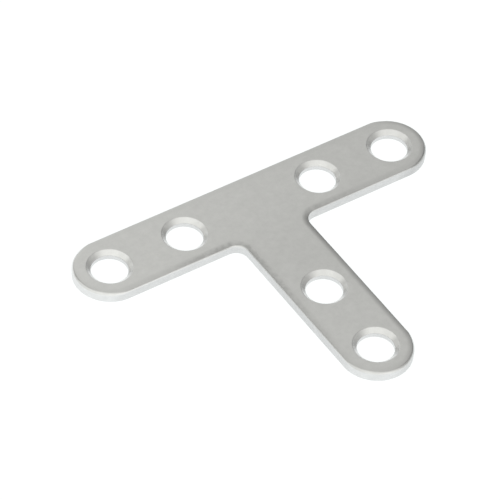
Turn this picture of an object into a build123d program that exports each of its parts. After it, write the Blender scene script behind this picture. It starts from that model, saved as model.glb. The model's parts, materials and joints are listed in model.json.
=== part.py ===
from build123d import *
import os

# Flat T-shaped joining plate, punched in one stroke from zinc-plated steel sheet.
#
# Frame: the plate lies on its underside, which is Z = 0, with +Z up. The crossbar
# runs along X and the stem runs towards -Y. The origin is where the centre lines
# of the crossbar and the stem cross, on the underside.

# ---- driving dimensions, millimetres ----
sheet_thickness = 2.0
bar_length = 70.0  # crossbar over its two round ends
arm_width = 12.8  # crossbar and stem alike
stem_reach = 43.9  # crossbar's centre line to the stem's round end
end_radius = arm_width / 2  # all three ends are full half circles
inner_corner_radius = 2.2  # where the stem meets the crossbar

bar_hole_inner = 13.6  # hole centres along the crossbar, from the middle
bar_hole_outer = bar_length / 2 - end_radius  # concentric with the round end
stem_hole_near = 22.2  # hole centres along the stem, from the crossbar's centre line
stem_hole_far = stem_reach - end_radius  # concentric with the round end

hole_radius = 3.2  # 6.4 mm hole, the close clearance size for an M6 bolt
sink_radius = 4.0  # countersink at the top face
sink_angle = 90.0
sink_depth = sink_radius - hole_radius
back_chamfer = 0.4  # chamfer round each hole on the underside

# Edge left by the punch: the top face rolls down gently over the outline, then
# turns through a worn corner into the straight sheared wall, and the edges of
# the underside are barely broken.
roll_width = 1.0  # how far the roll-over reaches in over the top face
roll_height = 0.13  # how far it drops
roll_blend_top = 6.0  # radius that melts the roll into the top face
corner_round = 0.22  # radius of the worn corner between the roll and the wall
underside_break = 0.08
rim_round = 0.12  # worn rim of each countersink
throat_round = 0.08  # blend from the countersink to the straight bore

hole_centres = [
    (-bar_hole_outer, 0),
    (-bar_hole_inner, 0),
    (bar_hole_inner, 0),
    (bar_hole_outer, 0),
    (0, -stem_hole_near),
    (0, -stem_hole_far),
]


def at_height(edges, z):
    """Edges that lie flat at the given height."""
    found = []
    for edge in edges:
        box = edge.bounding_box()
        if abs(box.min.Z - z) < 1e-4 and abs(box.max.Z - z) < 1e-4:
            found.append(edge)
    return ShapeList(found)


def round_a_hole(edges):
    """Edges that circle one of the holes."""
    found = []
    for edge in edges:
        if edge.geom_type == GeomType.CIRCLE and edge.radius < end_radius - 1.0:
            middle = edge.arc_center
            if any(
                abs(middle.X - x) < 1e-3 and abs(middle.Y - y) < 1e-3
                for x, y in hole_centres
            ):
                found.append(edge)
    return ShapeList(found)


with BuildPart() as joining_plate:
    # the blank: two equal strips with round ends, joined in a T
    with BuildSketch(Plane.XY) as blank:
        SlotOverall(bar_length, arm_width)
        with Locations((0, -stem_hole_far / 2)):
            Rectangle(arm_width, stem_hole_far)
        with Locations((0, -stem_hole_far)):
            Circle(end_radius)
        inner_corners = [
            corner
            for corner in blank.vertices()
            if abs(abs(corner.X) - arm_width / 2) < 1e-4
            and abs(corner.Y + arm_width / 2) < 1e-4
        ]
        fillet(inner_corners, radius=inner_corner_radius)
    extrude(amount=sheet_thickness)

    # roll-over along the whole outline of the top face
    top_face = joining_plate.faces().sort_by(Axis.Z)[-1]
    chamfer(
        top_face.outer_wire().edges(),
        length=roll_width,
        length2=roll_height,
        reference=top_face,
    )
    fillet(
        at_height(joining_plate.edges(), sheet_thickness),
        radius=roll_blend_top,
    )
    fillet(
        at_height(joining_plate.edges(), sheet_thickness - roll_height),
        radius=corner_round,
    )
    chamfer(at_height(joining_plate.edges(), 0), length=underside_break)

    # six through holes, each countersunk from the top and chamfered at the back
    with Locations(*[(x, y, sheet_thickness) for x, y in hole_centres]):
        CounterSinkHole(
            radius=hole_radius,
            counter_sink_radius=sink_radius,
            counter_sink_angle=sink_angle,
        )
    fillet(
        round_a_hole(at_height(joining_plate.edges(), sheet_thickness)),
        radius=rim_round,
    )
    fillet(
        round_a_hole(at_height(joining_plate.edges(), sheet_thickness - sink_depth)),
        radius=throat_round,
    )
    chamfer(
        round_a_hole(at_height(joining_plate.edges(), 0)), length=back_chamfer
    )

joining_plate.part.label = "joining_plate"

os.makedirs("parts", exist_ok=True)
export_step(joining_plate.part, "parts/joining_plate.step")

print(
    "plate volume %.1f mm3, overall %.2f x %.2f x %.2f mm"
    % (
        joining_plate.part.volume,
        joining_plate.part.bounding_box().size.X,
        joining_plate.part.bounding_box().size.Y,
        joining_plate.part.bounding_box().size.Z,
    )
)
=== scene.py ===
import json
import math

import bpy
import numpy as np
from mathutils import Matrix, Vector
from mathutils.geometry import delaunay_2d_cdt


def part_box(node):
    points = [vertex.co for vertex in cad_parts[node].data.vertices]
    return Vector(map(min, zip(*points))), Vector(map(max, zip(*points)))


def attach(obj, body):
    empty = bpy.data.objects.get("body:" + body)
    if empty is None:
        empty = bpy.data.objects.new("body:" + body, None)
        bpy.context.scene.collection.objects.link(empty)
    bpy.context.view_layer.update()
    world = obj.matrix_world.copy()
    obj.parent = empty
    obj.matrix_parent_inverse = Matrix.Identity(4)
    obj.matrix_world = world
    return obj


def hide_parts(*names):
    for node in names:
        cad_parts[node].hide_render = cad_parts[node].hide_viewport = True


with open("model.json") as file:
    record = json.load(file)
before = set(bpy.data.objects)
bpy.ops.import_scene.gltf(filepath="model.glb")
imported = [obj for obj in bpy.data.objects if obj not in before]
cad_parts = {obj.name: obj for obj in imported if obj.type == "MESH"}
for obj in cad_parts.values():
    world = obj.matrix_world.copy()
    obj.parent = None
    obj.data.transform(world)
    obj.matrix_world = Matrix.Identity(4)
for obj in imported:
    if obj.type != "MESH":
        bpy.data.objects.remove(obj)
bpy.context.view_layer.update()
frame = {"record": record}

MM = 0.001
scene = bpy.context.scene

# ------------------------------------------------------------------ camera
# a long lens, looking down on the plate from its front left
AZIMUTH, ELEVATION, ROLL = math.radians(-36.592), math.radians(46.074), math.radians(4.479)
DISTANCE, FOCAL_PX = 0.71599, 4224.83
AIM = (-0.0050062, -0.0073706)

back = Vector((math.sin(AZIMUTH) * math.cos(ELEVATION),
               -math.cos(AZIMUTH) * math.cos(ELEVATION), math.sin(ELEVATION)))
right = Vector((math.cos(AZIMUTH), math.sin(AZIMUTH), 0))
up = back.cross(right)
right, up = (math.cos(ROLL) * right + math.sin(ROLL) * up,
             -math.sin(ROLL) * right + math.cos(ROLL) * up)
place = Vector((AIM[0], AIM[1], 0)) + back * DISTANCE
# the picture's middle lies half a pixel off the aim
back = (back + right * (0.5 / FOCAL_PX) - up * (0.5 / FOCAL_PX)).normalized()
right = (right - back * right.dot(back)).normalized()
up = back.cross(right)

camera_data = bpy.data.cameras.new("camera")
camera_data.sensor_width = 36.0
camera_data.lens = 36.0 * FOCAL_PX / 500
camera_data.clip_start, camera_data.clip_end = 0.02, 60.0
camera = bpy.data.objects.new("camera", camera_data)
camera.matrix_world = Matrix((
    (right.x, up.x, back.x, place.x),
    (right.y, up.y, back.y, place.y),
    (right.z, up.z, back.z, place.z),
    (0, 0, 0, 1)))
scene.collection.objects.link(camera)
scene.camera = camera

# ------------------------------------------------------------------ sizes, in millimetres
lo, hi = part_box("joining_plate")
BAR = hi.x / MM                       # half the crossbar
HALF = hi.y / MM                      # half an arm's width, and the radius of the round ends
STEM = -lo.y / MM                     # crossbar's centre line to the stem's end
THICK = hi.z / MM
INNER = 2.2                           # inner corners
holes = [(m["pos_m"][0] / MM, m["pos_m"][1] / MM, m["dims"]["r_mm"])
         for m in frame["record"]["mounts"] if m["kind"] == "bore"]
SINK = 0.8                            # the countersink's depth and width
BACK = 0.4                            # the chamfer round each hole at the back
ROLL_WIDTH, ROLL_DROP = 1.25, 0.13    # the punch drew the top face down over this width, by this much
CORNER, CORNER_END = 0.17, 0.40       # worn corner above the cut wall, along the sides and round the ends


def wander(s, seed, pitch):
    """A smooth, seeded wandering value from -1 to 1 along a length s in millimetres."""
    rng = np.random.default_rng(seed)
    out, weight = np.zeros_like(s), 0.0
    for octave in range(4):
        k = 2 * math.pi / (pitch / 2 ** octave)
        for _ in range(3):
            f = k * rng.uniform(0.7, 1.3)
            out += np.sin(f * s + rng.uniform(0, 6.28)) * 0.6 ** octave / 3
        weight += 0.6 ** octave
    return out / weight


def outline():
    """Points along the plate's outline, anticlockwise, with outward normals and the length run so far."""
    pts, nrm = [], []

    def line(a, b, n):
        a, b = np.array(a, float), np.array(b, float)
        count = max(int(round(np.linalg.norm(b - a) / 0.42)), 1)
        for i in range(count):
            pts.append(a + (b - a) * i / count)
            nrm.append(np.array(n, float))

    def arc(c, r, a0, a1, outward=1.0):
        count = max(int(round(abs(math.radians(a1 - a0)) * r / 0.30)), 10)
        for i in range(count):
            a = math.radians(a0 + (a1 - a0) * i / count)
            d = np.array((math.cos(a), math.sin(a)))
            pts.append(np.array(c, float) + r * d)
            nrm.append(outward * d)

    e, s = BAR - HALF, STEM - HALF
    c = HALF + INNER
    line((e, HALF), (-e, HALF), (0, 1))
    arc((-e, 0), HALF, 90, 270)
    line((-e, -HALF), (-c, -HALF), (0, -1))
    arc((-c, -c), INNER, 90, 0, -1.0)
    line((-HALF, -c), (-HALF, -s), (-1, 0))
    arc((0, -s), HALF, 180, 360)
    line((HALF, -s), (HALF, -c), (1, 0))
    arc((c, -c), INNER, 180, 90, -1.0)
    line((c, -HALF), (e, -HALF), (0, -1))
    arc((e, 0), HALF, -90, 90)
    pts, nrm = np.array(pts), np.array(nrm)
    step = np.linalg.norm(np.diff(np.vstack((pts, pts[:1])), axis=0), axis=1)
    return pts, nrm, np.concatenate(([0], np.cumsum(step)[:-1]))


verts, faces, zone, dark = [], [], [], []
# zone: 0 flat faces, 1 burnished corners and countersinks, 2 cut walls; dark: how much painted shade darkens the
# roll-over


# the last argument is how much painted shade darkens the ring's colour
def ring_of(xy, z, mark, shade_amount=0.0):
    first = len(verts)
    for (x, y), h, d in zip(xy, np.broadcast_to(z, len(xy)), np.broadcast_to(shade_amount, len(xy))):
        verts.append((float(x), float(y), float(h)))
        zone.append(mark)
        dark.append(float(d))
    return list(range(first, len(verts)))


def bridge(a, b):
    """Quads between two closed rings, wound so that their outside is to the right of travel, going down."""
    n = len(a)
    for i in range(n):
        j = (i + 1) % n
        faces.append((a[i], b[i], b[j], a[j]))


# the outline: over the roll, down the cut wall and round the underside's edge
edge, normal, run = outline()


def near(x, y, spread):
    """1 at a place on the outline, falling to 0 around it."""
    return np.exp(-((edge[:, 0] - x) ** 2 + (edge[:, 1] - y) ** 2) / spread ** 2)


# the punch pulled the skin down further beside the inner corners
roll = ROLL_DROP * (1 + 0.12 * wander(run, 11, 31.0) + 0.9 * near(-HALF, -HALF, 8.5) + 0.3 * near(HALF, -HALF, 8.5))
# and wore its corner rounder where it goes round the three ends
ends = np.array([(-BAR + HALF, 0), (BAR - HALF, 0), (0, -STEM + HALF)])
tips = np.array([(-1, 0), (1, 0), (0, -1)])
ahead = np.max([(edge - e) @ t / HALF for e, t in zip(ends, tips)], axis=0)
ahead = np.clip(ahead / 0.45, 0, 1)
corner = CORNER + (CORNER_END - CORNER) * ahead * ahead * (3 - 2 * ahead) + 0.02 * wander(run, 17, 13.0)


def fall(w):
    """How far the roll-over has dropped at a distance w in from the outline."""
    return roll * np.clip(1 - w / ROLL_WIDTH, 0, 1) ** 2


# painted shade darkens the roll-over a little all round, most beside the inner corners, where it was drawn down
# furthest, and along the stem's left side
ragged_roll_shade = near(-HALF - 5, -HALF, 7.0) + near(-HALF, -HALF - 7, 7.5) + 0.6 * near(HALF + 3, -HALF, 8.0)
ragged_roll_shade = np.clip(0.15 + 0.35 * near(-HALF, -29, 11) + ragged_roll_shade, 0, 1) * (0.85 + 0.25 * wander(run, 31, 3.1))

top_rings, top_insets = [], []
for w in (1.30, 1.20, 1.10, 1.00, 0.90, 0.80, 0.70, 0.61, 0.53, 0.46):
    band = min(1.0, max(0.0, (1.35 - w) / 0.6))
    top_rings.append(ring_of(edge - normal * w, THICK - fall(w), 0, ragged_roll_shade * band))
    top_insets.append(w)
for k in (0.66, 0.33):
    w = corner * (1 - k) + 0.46 * k
    top_rings.append(ring_of(edge - normal * w[:, None], THICK - fall(w), 0, ragged_roll_shade))
for a in np.radians((0, 10, 20, 30, 40, 50, 60, 70, 80, 90)):
    w, drop = corner * (1 - math.sin(a) ** 1.333), corner * (1 - math.cos(a) ** 1.333)
    top_rings.append(ring_of(edge - normal * w[:, None], THICK - fall(w) - drop, 0 if a < 0.1 else 1,
                             ragged_roll_shade * max(0.0, 1 - a / 0.7)))
top_insets += [0.0] * (len(top_rings) - len(top_insets))
shear = 0.95 + 0.16 * wander(run, 5, 9.0)            # where the sheared band gives way to the torn one
wall_rings = []
for k in np.linspace(0.12, 0.92, 9):
    z = (THICK - roll - corner) * (1 - k) + 0.10 * k
    torn = np.clip((shear - z) / 0.10, 0, 1)
    torn = torn * torn * (3 - 2 * torn)
    deep = 0.016 * torn * (1 + 0.5 * wander(run + 40 * k, 21, 1.9)) + 0.010 * torn * np.clip((shear - z) / 0.8, 0, 1)
    wall_rings.append(ring_of(edge - normal * deep[:, None], z, 2))
low_rings = []
for a in (0, 22.5, 45, 67.5, 90):
    w = 0.024 + 0.07 * (1 - math.cos(math.radians(a)))
    low_rings.append(ring_of(edge - normal * w, 0.07 * (1 - math.sin(math.radians(a))), 2 if a < 60 else 0))
chain = top_rings + wall_rings + low_rings
for a, b in zip(chain, chain[1:]):
    bridge(a, b)
top_loops, low_loops = [chain[0]], [chain[-1]]

# the holes: rim, countersink, throat, bore and the underside's edge
for number, (x, y, r) in enumerate(holes):
    n = 108
    turn = np.linspace(0, 2 * math.pi, n, endpoint=False)
    way = np.stack((np.cos(turn), np.sin(turn)), 1)
    centre = np.array((x, y))
    arc_mm = turn * r
    rim = r + SINK
    profile = []                                      # (radius, height, zone)
    lip, throat = 0.12, 0.08                          # radii of the worn rim and of the edge below the cone
    bend = math.tan(math.radians(22.5))
    for w in (0.42, 0.32, 0.23, 0.15, 0.09):
        profile.append((rim + lip * bend + w, THICK, 0))
    for a in np.linspace(0, 45, 6):
        a = math.radians(a)
        profile.append((rim + lip * bend - lip * math.sin(a), THICK - lip * (1 - math.cos(a)), 1))
    upper = rim - lip * bend * 0.7071
    lower = r + throat * bend * 0.7071
    for k in (0.1, 0.22, 0.36, 0.5, 0.64, 0.78, 0.9):
        radius = upper * (1 - k) + lower * k
        profile.append((radius, THICK - (rim - radius), 1))
    for a in np.linspace(45, 0, 5):
        a = math.radians(a)
        profile.append((r + throat - throat * math.cos(a), THICK - SINK - throat * bend + throat * math.sin(a), 2))
    for z in (1.04, 0.93, 0.82, 0.71, 0.60, 0.52):
        profile.append((r, z, 2))
    for a in np.linspace(0, 45, 4):
        a = math.radians(a)
        profile.append((r + 0.06 - 0.06 * math.cos(a), BACK + 0.06 * bend - 0.06 * math.sin(a), 2))
    profile += [(r + BACK * k, BACK * (1 - k), 1) for k in (0.3, 0.6, 0.92)] + [(r + BACK + 0.05, 0.0, 0)]
    rings = []
    tear = 0.80 + 0.10 * wander(arc_mm, 100 + number, 8.0)
    for radius, z, mark in profile:
        radii = np.full(n, radius)
        if mark == 2 and 0.45 < z < 1.1:
            torn = np.clip((tear - z) / 0.12, 0, 1)
            radii = radii + 0.010 * torn * (1 + 0.5 * wander(arc_mm + 30 * z, 200 + number, 1.7))
        rings.append(ring_of(centre + way * radii[:, None], z, mark))
    for a, b in zip(rings, rings[1:]):
        bridge(b, a)
    top_loops.append(rings[0])
    low_loops.append(rings[-1])


def within(loop, points):
    """Which points lie inside a closed ring?"""
    ring = np.array([verts[i][:2] for i in loop])
    nxt = np.roll(ring, -1, axis=0)
    found = np.zeros(len(points), bool)
    for (x0, y0), (x1, y1) in zip(ring, nxt):
        crosses = (y0 > points[:, 1]) != (y1 > points[:, 1])
        with np.errstate(divide="ignore", invalid="ignore"):
            at = (x1 - x0) * (points[:, 1] - y0) / (y1 - y0) + x0
        found ^= crosses & (points[:, 0] < at)
    return found


def fill(loops, grid, z):
    """Fills the flat between the outline's ring and the holes' rings, with even points between if grid is set."""
    ids, co, limits = [], [], []
    for loop in loops:
        first = len(ids)
        ids += loop
        co += [Vector(verts[i][:2]) for i in loop]
        limits += [(first + i, first + (i + 1) % len(loop)) for i in range(len(loop))]
    fixed = len(ids)
    if grid:
        rows = np.arange(-STEM, HALF, grid * 0.866)
        spots = np.array([(px + (grid / 2 if i % 2 else 0), py)
                          for i, py in enumerate(rows) for px in np.arange(-BAR, BAR, grid)])
        rings = np.array([verts[i][:2] for i in ids])
        clear = np.min(np.linalg.norm(spots[:, None] - rings[None], axis=2), axis=1) > 0.6 * grid
        keep = clear & within(loops[0], spots)
        for loop in loops[1:]:
            keep &= ~within(loop, spots)
        co += [Vector((float(px), float(py))) for px, py in spots[keep]]
    out_co, _, out_faces, source, _, _ = delaunay_2d_cdt(co, limits, [], 0, 1e-6)
    index = []
    for i, point in enumerate(out_co):
        old = [k for k in source[i] if k < fixed]
        if old:
            index.append(ids[old[0]])
        else:
            verts.append((point.x, point.y, z))
            zone.append(0)
            dark.append(0.0)
            index.append(len(verts) - 1)
    middles = np.array([[sum(out_co[i].x for i in f) / len(f), sum(out_co[i].y for i in f) / len(f)] for f in out_faces])
    keep = within(loops[0], middles)
    for loop in loops[1:]:
        keep &= ~within(loop, middles)
    for face, kept in zip(out_faces, keep):
        if kept:
            a, b, c = (out_co[i] for i in face[:3])
            ahead = (b - a).cross(c - a) > 0
            face = [index[i] for i in face]
            faces.append(tuple(face if ahead == (z > 0) else face[::-1]))


fill(top_loops, 0.85, THICK)
fill(low_loops, 1.7, 0.0)

# the top's colour is lighter towards low x and darker where the stem leaves the bar; cut metal is greyer, least on
# the round ends, where painted light lifts the cut walls
spots = np.array(verts)
tips_ahead = np.max([(spots[:, :2] - e) @ t / HALF for e, t in zip(ends, tips)], axis=0)
outer = np.min([np.linalg.norm(spots[:, :2] - e, axis=1) for e in ends], axis=0) > 5.0
skin = 0.045 - 0.0011 * spots[:, 0] - 0.040 * np.exp(-(spots[:, 0] ** 2 + (spots[:, 1] + 14) ** 2) / 10 ** 2)
# painted shade on the roll-over band, deeper along the stem's sides and at the bar's right inner edge
roll_band_shade = 0.045 + 0.045 * near(-HALF, -24, 16) + 0.02 * (near(HALF, -22, 16) + near(HALF + 9, -HALF, 9))
for ring, inset in zip(top_rings, top_insets):        # and painted shade over the roll
    skin[ring] -= roll_band_shade * min(1.0, max(0.0, (1.4 - inset) / 0.9))
# cut walls are greyer, with painted light lifting them on the round ends
tone_and_painted_shade = np.where(np.array(zone) == 2, 0.06 * np.clip(tips_ahead / 0.45, 0, 1) * outer - 0.10, skin)
# painted shade on the worn corners and cut walls along the stem's left side and the bar's right inner edge, and near
# the stem's tip and the bar's right end
painted_wall_shade = 0.07 * near(-HALF, -24, 15) + 0.05 * near(HALF + 8, -HALF, 12) + 0.08 * near(3.2, -43, 3.5) + 0.17 * near(31.8, -5.5, 4.5)
for ring in top_rings[-8:] + wall_rings:
    tone_and_painted_shade[ring] -= painted_wall_shade

mesh = bpy.data.meshes.new("plate_body")
mesh.from_pydata([(x * MM, y * MM, z * MM) for x, y, z in verts], [], faces)
mesh.validate()
mesh.update()
mesh.polygons.foreach_set("use_smooth", [True] * len(mesh.polygons))
for name, values in (("cut", [float(z == 2) for z in zone]), ("burnished", [float(z == 1) for z in zone]),
                     ("ragged_roll_shade", dark), ("tone_and_painted_shade", tone_and_painted_shade.tolist())):
    mesh.attributes.new(name, "FLOAT", "POINT").data.foreach_set("value", values)
plate = bpy.data.objects.new("plate_body", mesh)
scene.collection.objects.link(plate)

# ------------------------------------------------------------------ material


class Nodes:
    """A short way to write a node tree."""

    def __init__(self, tree):
        self.tree = tree
        tree.nodes.clear()

    def add(self, kind, **settings):
        node = self.tree.nodes.new(kind)
        for key, value in settings.items():
            if key == "inputs":
                for name, given in value.items():
                    if isinstance(given, bpy.types.NodeSocket):
                        self.tree.links.new(given, node.inputs[name])
                    else:
                        node.inputs[name].default_value = given
            else:
                setattr(node, key, value)
        return node

    def noise(self, vector, size_mm, detail=2.0, rough=0.5):
        """Noise whose features are about size_mm across; returns its Fac."""
        return self.add("ShaderNodeTexNoise", inputs={
            "Vector": vector, "Scale": 1000.0 / size_mm, "Detail": detail, "Roughness": rough}).outputs["Fac"]

    def span(self, value, a, b, c, d):
        """Maps a..b to c..d, clamped."""
        return self.add("ShaderNodeMapRange", inputs={
            "Value": value, "From Min": a, "From Max": b, "To Min": c, "To Max": d}).outputs["Result"]

    def math(self, how, a, b=0.0, c=0.0):
        node = self.add("ShaderNodeMath", operation=how)
        for slot, given in zip(node.inputs, (a, b, c)):
            if isinstance(given, bpy.types.NodeSocket):
                self.tree.links.new(given, slot)
            else:
                slot.default_value = given
        return node.outputs[0]


def zinc():
    mat = bpy.data.materials.new("zinc_plated_steel")
    mat.use_nodes = True
    n = Nodes(mat.node_tree)
    co = n.add("ShaderNodeTexCoord").outputs["Object"]
    cut, burnished, ragged_roll_shade, tone_and_painted_shade = (n.add("ShaderNodeAttribute", attribute_name=name).outputs["Fac"]
                                     for name in ("cut", "burnished", "ragged_roll_shade", "tone_and_painted_shade"))

    # the plating's grain: a faint crystalline mottle in several sizes
    mottle = n.noise(co, 1.8, 4.0, 0.8)
    fine = n.noise(co, 0.30, 2.0, 0.6)
    tone = n.math("ADD", n.span(mottle, 0.3, 0.7, -0.043, 0.043), n.span(fine, 0.3, 0.7, -0.003, 0.003))
    # ragged painted shade on the roll-over, which is also a little rougher there, a cleaner skin on worn corners, a
    # greyer one on cut metal
    blotch = n.span(n.noise(co, 0.9, 3.0, 0.65), 0.40, 0.60, 0.25, 1.0)
    ragged = n.math("MULTIPLY", ragged_roll_shade, blotch)
    tone = n.math("MULTIPLY_ADD", ragged, -0.19, tone)
    tone = n.math("MULTIPLY_ADD", burnished, -0.02, tone)
    # adds the per-point tone worked out above, painted shade on the roll, corners and walls included
    tone = n.math("ADD", tone, tone_and_painted_shade)
    level = n.math("ADD", tone, 0.80)
    colour = n.add("ShaderNodeCombineColor", inputs={
        "Red": level, "Green": level, "Blue": n.math("MULTIPLY", level, n.span(cut, 0.0, 1.0, 0.99, 1.0))}).outputs["Color"]

    rough = n.math("ADD", n.span(fine, 0.3, 0.7, 0.30, 0.35), n.span(mottle, 0.3, 0.7, -0.02, 0.02))
    rough = n.math("MULTIPLY_ADD", ragged, 0.05, rough)

    grain = n.add("ShaderNodeBump", inputs={"Strength": 0.2, "Distance": 0.00001, "Height": n.noise(co, 0.18, 2.0, 0.6)})
    streak = n.add("ShaderNodeVectorMath", operation="MULTIPLY", inputs={0: co, 1: (1, 1, 0.12)}).outputs[0]
    drawn = n.add("ShaderNodeBump", inputs={
        "Strength": n.math("MULTIPLY", cut, 0.35), "Distance": 0.00002,
        "Height": n.noise(streak, 0.14, 2.0, 0.6), "Normal": grain.outputs["Normal"]})

    shader = n.add("ShaderNodeBsdfPrincipled", inputs={
        "Base Color": colour, "Roughness": rough, "Metallic": 1.0, "Normal": drawn.outputs["Normal"]})
    out = n.add("ShaderNodeOutputMaterial")
    n.tree.links.new(shader.outputs["BSDF"], out.inputs["Surface"])
    return mat


plate.data.materials.append(zinc())
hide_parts("joining_plate")
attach(plate, "root")

# ------------------------------------------------------------------ studio


def floor():
    """A white table that curves up at its rim, lit from inside so that the plate's cut edges have it to reflect."""
    rings = [(0.25, 0.0), (1.0, 0.0), (2.6, 0.0), (2.9, 0.02), (3.15, 0.07), (3.3, 0.15), (3.4, 0.26)]
    n = 72
    points = [(0.0, 0.0, 0.0)]
    points += [(r * math.cos(2 * math.pi * i / n), r * math.sin(2 * math.pi * i / n), z) for r, z in rings for i in range(n)]
    quads = [(0, 1 + i, 1 + (i + 1) % n) for i in range(n)]
    for k in range(len(rings) - 1):
        a, b = 1 + k * n, 1 + (k + 1) * n
        quads += [(a + i, b + i, b + (i + 1) % n, a + (i + 1) % n) for i in range(n)]
    mesh = bpy.data.meshes.new("floor")
    mesh.from_pydata(points, [], quads)
    obj = bpy.data.objects.new("floor", mesh)
    obj.location.z = -0.00003
    scene.collection.objects.link(obj)
    mat = bpy.data.materials.new("floor_white")
    mat.use_nodes = True
    n = Nodes(mat.node_tree)
    matte = n.add("ShaderNodeBsdfDiffuse", inputs={"Color": (0.2, 0.2, 0.2, 1)})
    glow = n.add("ShaderNodeEmission", inputs={"Color": (0.975, 1.0, 1.0, 1), "Strength": 0.93})
    both = n.add("ShaderNodeAddShader", inputs={0: matte.outputs[0], 1: glow.outputs[0]})
    out = n.add("ShaderNodeOutputMaterial")
    n.tree.links.new(both.outputs[0], out.inputs["Surface"])
    mesh.materials.append(mat)


floor()

# soft lights all round, as (azimuth, elevation, tightness, strength); the gap at the plate's right stays dark
LIGHTS = [(0, 15, 2.5, 1.15), (285, 30, 5, 0.81), (300, 75, 20, 0.50), (240, 30, 20, 0.78), (210, 0, 20, 1.11),
          (165, 30, 10, 0.80), (140, 70, 10, 0.36), (120, 60, 20, 0.22), (75, 15, 20, 0.30)]
world = bpy.data.worlds.new("studio")
scene.world = world
world.use_nodes = True
n = Nodes(world.node_tree)
look = n.add("ShaderNodeVectorMath", operation="NORMALIZE", inputs={
    0: n.add("ShaderNodeTexCoord").outputs["Generated"]}).outputs[0]
total = 0.0
for azimuth, elevation, tight, strength in LIGHTS:
    a, e = math.radians(azimuth), math.radians(elevation)
    along = n.add("ShaderNodeVectorMath", operation="DOT_PRODUCT", inputs={
        0: look, 1: (math.sin(a) * math.cos(e), -math.cos(a) * math.cos(e), math.sin(e))}).outputs["Value"]
    total = n.math("MULTIPLY_ADD", n.math("EXPONENT", n.math("MULTIPLY_ADD", along, tight, -tight)), strength, total)
sky = n.add("ShaderNodeBackground", inputs={"Color": (0.997, 1.0, 0.97, 1), "Strength": total})
out = n.add("ShaderNodeOutputWorld")
n.tree.links.new(sky.outputs["Background"], out.inputs["Surface"])

scene.view_settings.view_transform = "Standard"
scene.view_settings.look = "None"
